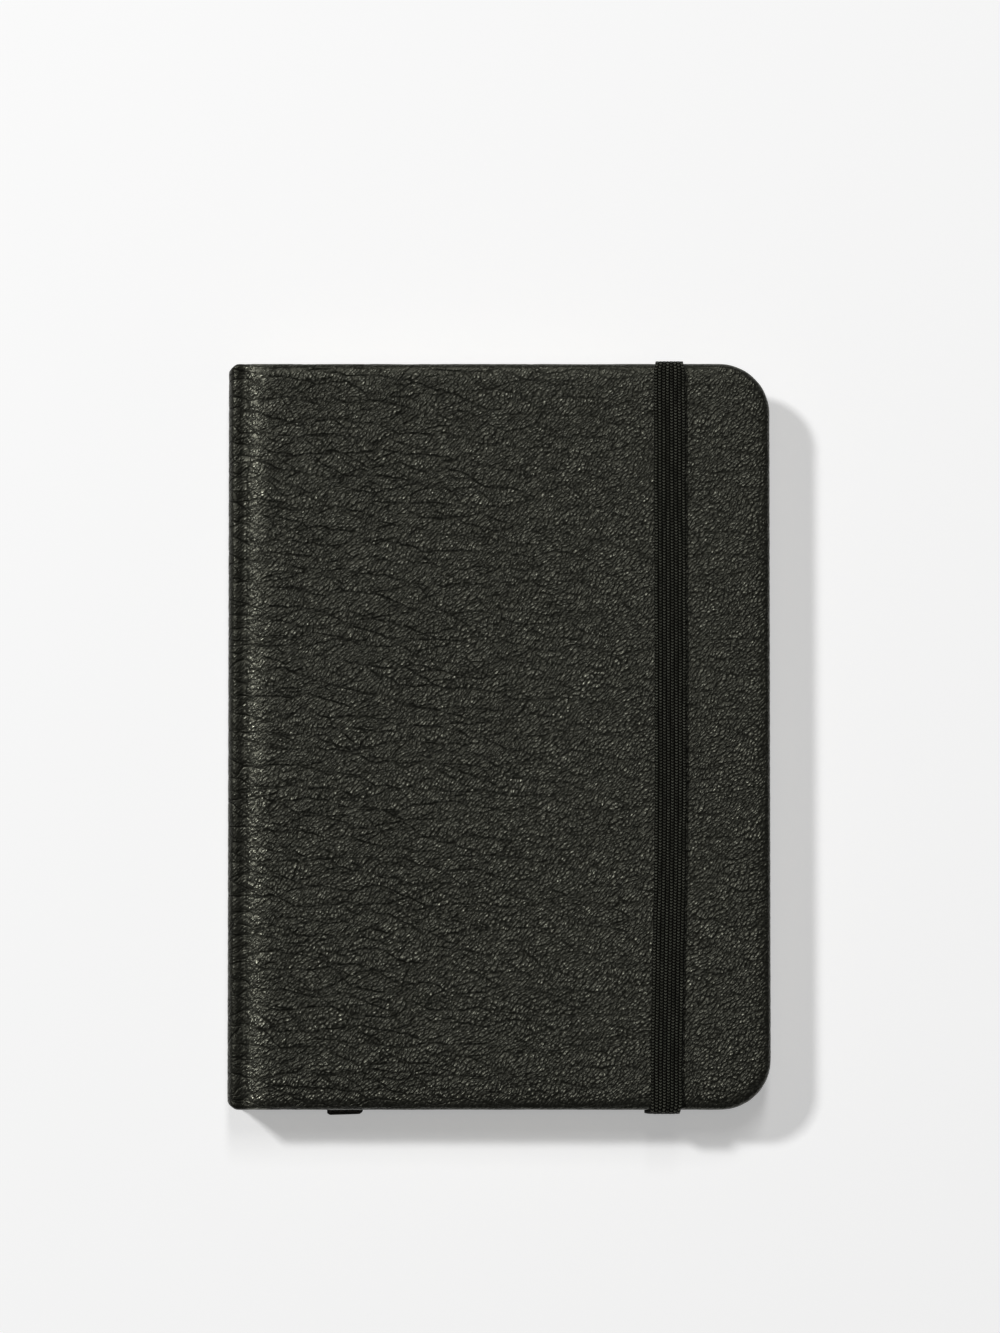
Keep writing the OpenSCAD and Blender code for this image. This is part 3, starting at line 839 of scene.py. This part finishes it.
# ---------------------------------------------------------------- elastic
def elastic_material():
    m, n, b = material("ribbed_elastic")
    a = attr(n, "web")
    sep = n.node("ShaderNodeSeparateXYZ")
    n.feed(sep.inputs[0], a.outputs["Vector"])
    u, l, hgt = sep.outputs[0], sep.outputs[1], sep.outputs[2]
    p = n.node("ShaderNodeCombineXYZ")
    n.feed(p.inputs[0], u)
    n.feed(p.inputs[1], l)
    fine = n.noise(n.vmath("MULTIPLY", p.outputs[0], (9.0, 4.0, 0.0)), 1.0, 3.0, 0.6)
    long = n.noise(n.vmath("MULTIPLY", p.outputs[0], (1.1, 0.16, 0.0)), 1.0, 2.0, 0.5)
    # eight columns of small V-shaped loops
    t = n.math("ADD", n.math("DIVIDE", u, 0.8125), 4.0)
    k = n.math("FLOOR", t)
    f = n.math("ABSOLUTE", n.math("SUBTRACT", n.math("SUBTRACT", t, k), 0.5))
    rib = n.ramp(f, 0.2, 0.47, 1.0, 0.0)
    ph = n.math("SUBTRACT", n.math("DIVIDE", l, 0.62), n.math("MULTIPLY", f, 0.84))
    ph = n.math("ADD", ph, n.math("MULTIPLY", n.math("MODULO", k, 2.0), 0.5))
    ph = n.math("ADD", ph, n.math("MULTIPLY", n.math("SUBTRACT", fine, 0.5), 0.35))
    vee = n.math("ADD", n.math("MULTIPLY", n.math("COSINE", n.math("MULTIPLY", ph, 2 * math.pi)), 0.5), 0.5)
    loop = n.math("MULTIPLY", n.ramp(vee, 0.25, 0.95), rib)
    loop = n.math("MULTIPLY", loop, n.ramp(long, 0.3, 0.7, 0.35, 1.15))
    out = n.ramp(hgt, 0.5, 0.56, 1.0, 1.0)
    # painted shade: the band is coloured darkest between the ribs, where the grooves lie
    col = n.mix(rib, rgb(0.0004, 0.0004, 0.0003), rgb(0.003, 0.0031, 0.0024))
    # painted highlight: the tops of the V-shaped loops are coloured much lighter
    col = n.mix(n.math("MULTIPLY", loop, out), col, rgb(0.062, 0.065, 0.051))
    col = n.mix(n.math("MULTIPLY", n.ramp(fine, 0.55, 0.85), 0.35), col, rgb(0.024, 0.025, 0.02))
    n.feed(b.inputs["Base Color"], col)
    b.inputs["Roughness"].default_value = 0.5
    n.feed(b.inputs["Specular IOR Level"], n.math("ADD", 0.02, n.math("MULTIPLY", loop, 0.6)))
    b.inputs["Specular Tint"].default_value = (1.0, 1.0, 0.82, 1.0)
    b.inputs["Sheen Weight"].default_value = 0.015
    n.feed(b.inputs["Normal"], n.bump(n.math("ADD", n.math("MULTIPLY", fine, 0.35), loop), 0.00012, 0.9))
    return m


ELASTIC = elastic_material()


def band_path(step):
    """(y, z) and outward normal along the elastic, from the tail slit over the front to the head slit"""
    ye = el_hi[1] - 0.4
    zt = el_hi[2] - 0.4
    zb = 0.43
    ys = 64.0
    half = []

    def line(a, b_):
        L = math.dist(a, b_)
        k = max(1, int(L / step))
        for i in range(k):
            t = i / k
            half.append((a[0] + (b_[0] - a[0]) * t, a[1] + (b_[1] - a[1]) * t))

    def turn(c, r, a0, a1):
        k = max(4, int(abs(math.radians(a1 - a0)) * r / step))
        for i in range(k):
            a = math.radians(a0 + (a1 - a0) * i / k)
            half.append((c[0] + r * math.cos(a), c[1] + r * math.sin(a)))

    r0, r1, r2 = 0.5, 0.5, 1.2
    line((ys, 1.7), (ys, zb + r0))
    turn((ys + r0, zb + r0), r0, 180, 270)
    line((ys + r0, zb), (ye - r1, zb))
    turn((ye - r1, zb + r1), r1, -90, 0)
    line((ye, zb + r1), (ye, zt - r2))
    turn((ye - r2, zt - r2), r2, 0, 90)
    line((ye - r2, zt), (0, zt))
    half.append((0, zt))
    h = np.array(half)
    full = np.concatenate([h * [-1, 1], h[::-1][1:]])
    d = np.gradient(full, axis=0)
    d /= np.linalg.norm(d, axis=1)[:, None]
    nrm = np.stack([-d[:, 1], d[:, 0]], -1)
    s = np.concatenate([[0], np.cumsum(np.linalg.norm(np.diff(full, axis=0), axis=1))])
    return full, nrm, s


def build_elastic():
    step = 0.155
    path, nrm, s = band_path(step)
    head = smooth(75.6, 77.3, path[:, 0])
    tail = smooth(-75.6, -77.3, path[:, 0])
    path[:, 0] -= 0.2 * smooth(68.0, 77.3, path[:, 0])
    n_rib, pitch = 8, 0.79
    per = 6
    us, fs, ks = [], [], []
    for k in range(n_rib):
        for i in range(per):
            f = -0.5 + (i + 0.5) / per
            us.append((k - (n_rib - 1) / 2 + f) * pitch)
            fs.append(f)
            ks.append(k)
    us, fs, ks = map(np.array, (us, fs, ks))
    W = (el_hi[0] - el_lo[0]) / 2
    l = s[:, None]
    f = fs[None]
    rib = np.sqrt(np.maximum(0, 1 - (2 * f) ** 2 * 0.96))
    plain = ((ks == 0) | (ks == n_rib - 1))[None]
    # each rib is a column of small V-shaped loops
    ph = 2 * math.pi * (l / 0.62 - 0.42 * np.abs(2 * f) + (ks[None] % 2) * 0.5)
    vee = 0.5 + 0.5 * np.cos(ph)
    weft = 0.5 + 0.5 * np.cos(2 * math.pi * l / 0.62)
    h01 = np.where(plain, 0.62 * rib + 0.16 * weft, rib * (0.5 + 0.5 * vee))
    thin = (1 - 0.45 * head)[:, None]
    outer = (0.22 + 0.19 * h01) * thin
    y = path[:, 0]
    front_side = path[:, 1] > el_hi[2] - 1.2
    cx = (el_lo[0] + el_hi[0]) / 2
    shift = 0.40 - 0.95 * smooth(-8, -77, y) - 0.1 * smooth(20, 77, y)
    low = smooth(el_hi[2] - 2, 2.0, path[:, 1])
    shift = shift * (1 - low) + np.where(y < 0, -0.15, 0.1) * low
    drop = np.clip((el_hi[2] - path[:, 1]) / (el_hi[2] - 1.5), 0, 1)
    shift = shift - tail * (0.12 + 1.35 * np.sin(math.pi * drop) ** 1.5)
    rows = len(path)
    # the band is stretched a little thinner where it rounds the edges, and the edge wavers slightly
    wob = 0.03 * np.sin(s / 3.7) + 0.02 * np.sin(s / 1.3 + 1)
    drawn = (1 - 0.12 * head - 0.05 * tail)[:, None]
    U = us[None] * (W / (n_rib * pitch / 2)) * drawn
    X = cx + shift[:, None] + U + wob[:, None] * (np.abs(U) / W)
    Yo = path[:, 0:1] + nrm[:, 0:1] * outer
    Zo = path[:, 1:2] + nrm[:, 1:2] * outer
    cols_top = len(us)
    under_u = np.array([W, W * 0.985, W * 0.33, -W * 0.33, -W * 0.985, -W])
    under_h = np.array([0.02, -0.36, -0.38, -0.38, -0.36, 0.02])
    Xu = cx + shift[:, None] + under_u[None] * drawn + wob[:, None] * (np.abs(under_u[None]) / W)
    Yu = path[:, 0:1] + nrm[:, 0:1] * under_h[None] * thin
    Zu = path[:, 1:2] + nrm[:, 1:2] * under_h[None] * thin
    V = np.concatenate([np.stack([X, Yo, Zo], -1), np.stack([Xu, Yu, Zu], -1)], 1)
    C = V.shape[1]
    V = V.reshape(-1, 3)
    idx = np.arange(rows * C).reshape(rows, C)
    nxt = np.roll(idx, -1, axis=1)
    faces = np.stack([idx[:-1], idx[1:], nxt[1:], nxt[:-1]], -1).reshape(-1, 4).tolist()
    faces.append(idx[0].tolist())
    faces.append(idx[-1][::-1].tolist())
    web = np.zeros((rows, C, 3))
    web[:, :cols_top, 0] = U / drawn
    web[:, cols_top:, 0] = under_u[None]
    web[..., 1] = l
    web[:, :cols_top, 2] = h01
    web[:, cols_top:, 2] = 0.55
    o = mesh_object("elastic_closure_band", V, faces)
    put_vec(o, "web", web.reshape(-1, 3))
    o.data.materials.append(ELASTIC)
    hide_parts("elastic_band")
    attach(o, "elastic")
    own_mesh(o)
    return o


build_elastic()


# ---------------------------------------------------------------- ribbon marker
def woven_material(name, attribute, warp, weft, dark, light, scale_l=0.34, sheen=0.03):
    m, n, b = material(name)
    p = attr(n, attribute).outputs["Vector"]
    sep = n.node("ShaderNodeSeparateXYZ")
    n.feed(sep.inputs[0], p)
    a = n.math("PINGPONG", sep.outputs[0], warp / 2)
    w = n.math("PINGPONG", sep.outputs[1], weft / 2)
    ha = n.ramp(a, 0.0, warp / 2)
    hw = n.ramp(w, 0.0, weft / 2)
    fuzz = n.noise(p, 6.0, 3.0, 0.6)
    h = n.math("MULTIPLY", n.math("ADD", n.math("MULTIPLY", ha, 0.35), hw), n.ramp(fuzz, 0.2, 0.8, 0.75, 1.1))
    n.feed(b.inputs["Base Color"], n.mix(n.ramp(h, 0.1, 1.1), rgb(*dark), rgb(*light)))
    b.inputs["Roughness"].default_value = 0.55
    b.inputs["Sheen Weight"].default_value = sheen
    n.feed(b.inputs["Normal"], n.bump(h, 0.00005, 0.9))
    return m


RIBBON = woven_material("ribbon_weave", "web", 0.3, 0.42, (0.012, 0.012, 0.0125), (0.075, 0.073, 0.077))


def build_ribbon():
    lo, hi = rb_lo, rb_hi
    w = 7.4
    zc = (lo[2] + hi[2]) / 2
    x_head, x_tail = lo[0] + 6.4, hi[0] - 3.8
    y_head, y_tail, y_bend = hi[1], lo[1], -49.0
    t = 0.115
    # centre line of the doubled strip, seen from the side: upper run, round fold, short lower run
    ys = list(np.linspace(y_head, y_bend, 60)) + list(np.linspace(y_bend, y_tail + 0.15, 90))[1:]
    upper = [(y, zc + 0.072) for y in ys]
    fold = [(y_tail + 0.15 - 0.078 * math.sin(a), zc + 0.072 * math.cos(a)) for a in np.linspace(0, math.pi, 9)[1:-1]]
    lower = [(y, zc - 0.072) for y in np.linspace(y_tail + 0.15, y_tail + 16, 60)]
    pts = np.array(upper + fold + lower)
    d = np.gradient(pts, axis=0)
    d /= np.linalg.norm(d, axis=1)[:, None] + 1e-9
    nrm = np.stack([d[:, 1], -d[:, 0]], -1) * -1
    s = np.concatenate([[0], np.cumsum(np.linalg.norm(np.diff(pts, axis=0), axis=1))])
    us = np.concatenate([[-1, -0.985, -0.93], np.linspace(-0.9, 0.9, 25), [0.93, 0.985, 1]])
    thick = np.where(np.abs(us) > 0.92, 1.15, 1.0) * np.where(np.abs(us) > 0.99, 0.35, 1.0)
    top, bot, webt = [], [], []
    for i, (y, z) in enumerate(pts):
        run = (y_head - max(y, y_bend)) / (y_head - y_bend)
        cx = x_head + (x_tail - x_head) * (run - 0.045 * math.sin(2 * math.pi * run)) + 0.5 * math.sin(math.pi * run) ** 2
        # the bight is slightly slanted and its corners are drawn in
        near = math.exp(-(((y - y_tail) / 1.0) ** 2))
        for k, u in enumerate(us):
            x = cx + u * w / 2 * (1 - 0.0 * near)
            slant = 0.24 * (0.5 + 0.5 * u) * near
            chamf = max(0, abs(u) - 0.8) / 0.2
            pull = (0.42 if u < 0 else 0.6) * chamf**1.6 * near
            yy = y + slant + pull
            weave = 0.006 * math.cos(2 * math.pi * s[i] / 0.84)
            hh = t / 2 * thick[k] + weave
            top.append((x, yy + nrm[i][0] * hh, z + nrm[i][1] * hh))
            bot.append((x, yy - nrm[i][0] * hh, z - nrm[i][1] * hh))
            webt.append((u * w / 2, s[i], 0))
    rows, K = len(pts), len(us)
    idx = np.arange(rows * K).reshape(rows, K)
    off = rows * K
    q = np.stack([idx[:-1, :-1], idx[1:, :-1], idx[1:, 1:], idx[:-1, 1:]], -1).reshape(-1, 4)
    faces = q.tolist() + (q[:, ::-1] + off).tolist()
    ring = np.concatenate([idx[:, 0], idx[-1, 1:], idx[-2::-1, -1], idx[0, -2::-1]])
    for a, b_ in zip(ring[:-1], ring[1:]):
        faces.append((int(a), int(a) + off, int(b_) + off, int(b_)))
    o = mesh_object("ribbon_marker_strip", np.array(top + bot), faces)
    put_vec(o, "web", np.array(webt + webt))
    o.data.materials.append(RIBBON)
    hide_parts("ribbon_marker")
    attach(o, "ribbon")


build_ribbon()


# ---------------------------------------------------------------- end bands, worked over a core with close thread
def end_band(node, name):
    lo, hi = map(mm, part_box(node))
    cx, cy = (lo[0] + hi[0]) / 2, (lo[1] + hi[1]) / 2
    r = (hi[0] - lo[0]) / 2
    rows, K = 180, 28
    zz = np.linspace(lo[2], hi[2], rows)
    a = np.linspace(0, 2 * math.pi, K, endpoint=False)
    turn = 0.46
    V, W = [], []
    for i, z in enumerate(zz):
        e = min(1.0, (z - lo[2]) / 0.35, (hi[2] - z) / 0.35)
        cap = math.sqrt(max(0.02, 1 - (1 - max(e, 0)) ** 2))
        for t in a:
            ph = 2 * math.pi * (z / turn + 0.18 * math.sin(t))
            rr = (r - 0.075 + 0.075 * abs(math.cos(ph / 2)) ** 0.7) * cap
            V.append((cx + rr * math.cos(t) * 0.98, cy + rr * math.sin(t), z))
            W.append((t * r, z + 0.083 * math.sin(t), 0))
    idx = np.arange(rows * K).reshape(rows, K)
    nxt = np.roll(idx, -1, axis=1)
    faces = np.stack([idx[:-1], idx[1:], nxt[1:], nxt[:-1]], -1).reshape(-1, 4).tolist()
    faces += [idx[0].tolist(), idx[-1][::-1].tolist()]
    o = mesh_object(name, V, faces)
    put_vec(o, "web", W)
    o.data.materials.append(BANDCLOTH)
    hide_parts(node)
    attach(o, "spine")


def endband_material():
    m, n, b = material("end_band_thread")
    p = attr(n, "web").outputs["Vector"]
    sep = n.node("ShaderNodeSeparateXYZ")
    n.feed(sep.inputs[0], p)
    stripe = n.ramp(n.math("PINGPONG", sep.outputs[1], 0.46), 0.2, 0.26)
    fib = n.noise(n.vmath("MULTIPLY", p, (2.0, 9.0, 1.0)), 1.0, 3.0, 0.6)
    col = n.mix(stripe, rgb(0.012, 0.012, 0.012), rgb(0.045, 0.043, 0.04))
    col = n.mix(n.math("MULTIPLY", fib, 0.5), col, rgb(0.02, 0.02, 0.02))
    n.feed(b.inputs["Base Color"], col)
    b.inputs["Roughness"].default_value = 0.6
    b.inputs["Sheen Weight"].default_value = 0.2
    n.feed(b.inputs["Normal"], n.bump(fib, 0.00004, 0.8))
    return m


BANDCLOTH = endband_material()
end_band("head_band", "head_band_worked")
end_band("tail_band", "tail_band_worked")


# ---------------------------------------------------------------- materials for the CAD pieces that stay
def board_material():
    m, n, b = material("grey_board")
    p = object_mm(n)
    sp = n.noise(p, 1.6, 5.0, 0.7, dims="3D")
    layers = n.noise(n.vmath("MULTIPLY", p, (0.25, 0.25, 7.0)), 1.0, 3.0, 0.6, dims="3D")
    chips = n.voronoi(p, "F1", scale=0.8, dims="3D")
    col = n.mix(n.ramp(sp, 0.3, 0.7), rgb(0.12, 0.112, 0.1), rgb(0.2, 0.188, 0.168))
    col = n.mix(n.math("MULTIPLY", n.ramp(layers, 0.35, 0.65), 0.4), col, rgb(0.09, 0.084, 0.075))
    col = n.mix(n.math("MULTIPLY", n.ramp(chips, 0.0, 0.16, 1.0, 0.0), 0.5), col, rgb(0.4, 0.38, 0.33))
    n.feed(b.inputs["Base Color"], col)
    b.inputs["Roughness"].default_value = 0.9
    n.feed(b.inputs["Normal"], n.bump(n.math("ADD", sp, layers), 0.00006, 0.7))
    return m


def fold_material():
    m, n, b = material("folded_backs")
    p = object_mm(n)
    lines = n.noise(n.vmath("MULTIPLY", p, (6.0, 0.08, 11.0)), 1.0, 2.0, 0.5, dims="3D")
    fib = n.noise(p, 1.5, 4.0, 0.6, dims="3D")
    glue = n.ramp(n.noise(p, 0.25, 3.0, 0.6, dims="3D"), 0.45, 0.7)
    col = n.mix(n.ramp(lines, 0.35, 0.65), rgb(0.5, 0.45, 0.34), rgb(0.74, 0.69, 0.56))
    col = n.mix(n.math("MULTIPLY", glue, 0.3), col, rgb(0.62, 0.53, 0.34))
    n.feed(b.inputs["Base Color"], col)
    b.inputs["Roughness"].default_value = 0.75
    n.feed(b.inputs["Normal"], n.bump(n.math("ADD", lines, fib), 0.00006, 0.8))
    return m


def kraft_material():
    m, n, b = material("kraft_lining")
    p = object_mm(n)
    fib = n.noise(n.vmath("MULTIPLY", p, (1.0, 0.35, 1.4)), 2.2, 5.0, 0.7, dims="3D")
    col = n.mix(n.ramp(fib, 0.3, 0.7), rgb(0.25, 0.165, 0.088), rgb(0.37, 0.26, 0.15))
    n.feed(b.inputs["Base Color"], col)
    b.inputs["Roughness"].default_value = 0.8
    n.feed(b.inputs["Normal"], n.bump(fib, 0.00004, 0.7))
    return m


def gauze_material():
    m, n, b = material("mull_gauze")
    p = object_mm(n)
    sep = n.node("ShaderNodeSeparateXYZ")
    n.feed(sep.inputs[0], p)
    a = n.ramp(n.math("PINGPONG", sep.outputs[1], 0.45), 0.12, 0.24, 1.0, 0.0)
    c = n.ramp(n.math("PINGPONG", sep.outputs[2], 0.45), 0.12, 0.24, 1.0, 0.0)
    h = n.math("MAXIMUM", a, c)
    fuzz = n.noise(p, 5.0, 3.0, 0.6, dims="3D")
    col = n.mix(h, rgb(0.36, 0.31, 0.2), rgb(0.66, 0.62, 0.5))
    col = n.mix(n.math("MULTIPLY", fuzz, 0.4), col, rgb(0.5, 0.46, 0.35))
    n.feed(b.inputs["Base Color"], col)
    b.inputs["Roughness"].default_value = 0.85
    n.feed(b.inputs["Normal"], n.bump(h, 0.00008, 0.8))
    return m


def thread_material():
    m, n, b = material("linen_thread")
    p = object_mm(n)
    sep = n.node("ShaderNodeSeparateXYZ")
    n.feed(sep.inputs[0], p)
    twist = n.math("PINGPONG", n.math("ADD", sep.outputs[2], n.math("MULTIPLY", sep.outputs[1], 1.3)), 0.16)
    h = n.ramp(twist, 0.0, 0.16)
    n.feed(b.inputs["Base Color"], n.mix(h, rgb(0.42, 0.39, 0.32), rgb(0.76, 0.73, 0.65)))
    b.inputs["Roughness"].default_value = 0.7
    n.feed(b.inputs["Normal"], n.bump(h, 0.00006, 0.9))
    return m


def elastic_end_material():
    m, n, b = material("elastic_end_web")
    p = object_mm(n)
    sep = n.node("ShaderNodeSeparateXYZ")
    n.feed(sep.inputs[0], p)
    rib = n.ramp(n.math("PINGPONG", sep.outputs[0], 0.395), 0.0, 0.3)
    weft = n.ramp(n.math("PINGPONG", sep.outputs[1], 0.31), 0.0, 0.31)
    h = n.math("MULTIPLY", rib, n.math("ADD", 0.6, n.math("MULTIPLY", weft, 0.4)))
    n.feed(b.inputs["Base Color"], n.mix(h, rgb(0.003, 0.003, 0.0025), rgb(0.017, 0.0175, 0.0145)))
    b.inputs["Roughness"].default_value = 0.65
    n.feed(b.inputs["Normal"], n.bump(h, 0.0001, 0.9))
    return m


CAD_LOOKS = {
    "front_board": board_material(),
    "sewn_folds": fold_material(),
    "spine_lining": kraft_material(),
    "mull": gauze_material(),
    "sewing_thread": thread_material(),
    "elastic_ends": elastic_end_material(),
}
CAD_LOOKS["back_board"] = CAD_LOOKS["spine_board"] = CAD_LOOKS["front_board"]
for node, mat in CAD_LOOKS.items():
    ob = frame["nodes"][node]
    ob.data.materials.clear()
    ob.data.materials.append(mat)
for ob in frame["nodes"].values():
    if not ob.data.materials or ob.data.materials[0] not in CAD_LOOKS.values():
        # nodes that are stood for by a piece keep a matching finish too
        name = ob.name
        ob.data.materials.clear()
        ob.data.materials.append(
            LEATHER if "leather" in name else PAGE if name.startswith("section") else ENDP if "paper" in name or "flyleaf" in name
            else BANDCLOTH if "band" in name and "elastic" not in name else ELASTIC if "elastic" in name else RIBBON
        )


# ---------------------------------------------------------------- floor, light, camera
def floor():
    m, n, b = material("pale_floor")
    c = n.node("ShaderNodeTexCoord")
    nz = n.noise(c.outputs["Object"], 9.0, 4.0, 0.6, dims="3D")
    n.feed(b.inputs["Base Color"], n.mix(nz, rgb(0.80, 0.80, 0.80), rgb(0.81, 0.81, 0.81)))
    b.inputs["Roughness"].default_value = 0.9
    b.inputs["Specular IOR Level"].default_value = 0.1
    b.inputs["Emission Color"].default_value = (1, 1, 1, 1)
    b.inputs["Emission Strength"].default_value = 0.385
    s = 3.0
    me = bpy.data.meshes.new("floor")
    me.from_pydata([(-s, -s, 0), (s, -s, 0), (s, s, 0), (-s, s, 0)], [], [(0, 1, 2, 3)])
    me.materials.append(m)
    o = link(bpy.data.objects.new("floor", me))
    o.location.z = -0.00005


floor()


def area(name, loc, aim, size, power, size_y=None, spread=180):
    d = bpy.data.lights.new(name, "AREA")
    d.energy = power
    d.size = size
    if size_y:
        d.shape = "RECTANGLE"
        d.size_y = size_y
    d.spread = math.radians(spread)
    o = link(bpy.data.objects.new(name, d))
    o.location = loc
    o.rotation_euler = (Vector(aim) - Vector(loc)).to_track_quat("-Z", "Y").to_euler()
    return o


key_dir = Vector((-10.4, 7.3, 14.5)).normalized()
key = area("key_light", key_dir * 3.0, (0, 0, 0), 0.32, 49.0)
over_dir = Vector((0.03, 0.55, 1.0)).normalized()
over = area("over_light", over_dir * 3.0, (0, 0, 0), 0.3, 21.0, 1.3)

world = bpy.data.worlds.new("soft_room")
bpy.context.scene.world = world
world.use_nodes = True
bg = world.node_tree.nodes["Background"]
bg.inputs["Color"].default_value = (1, 1, 1, 1)
bg.inputs["Strength"].default_value = 0.035

scene = bpy.context.scene
scene.view_settings.view_transform = "Standard"
scene.view_settings.look = "None"
scene.view_settings.exposure = 0.0

cam_data = bpy.data.cameras.new("camera")
cam = link(bpy.data.objects.new("camera", cam_data))
DIST = 1.2
VIEW_H = 0.2749
tilt = math.radians(2.6)
aim = Vector((0.00026, 0.01425, TOP * MM))
cam.location = aim + Vector((0, -math.sin(tilt), math.cos(tilt))) * DIST
cam.rotation_euler = (aim - cam.location).to_track_quat("-Z", "Y").to_euler()
cam_data.sensor_fit = "VERTICAL"
cam_data.sensor_height = 36.0
cam_data.lens = 36.0 * DIST / VIEW_H
cam_data.clip_end = 20
scene.camera = cam
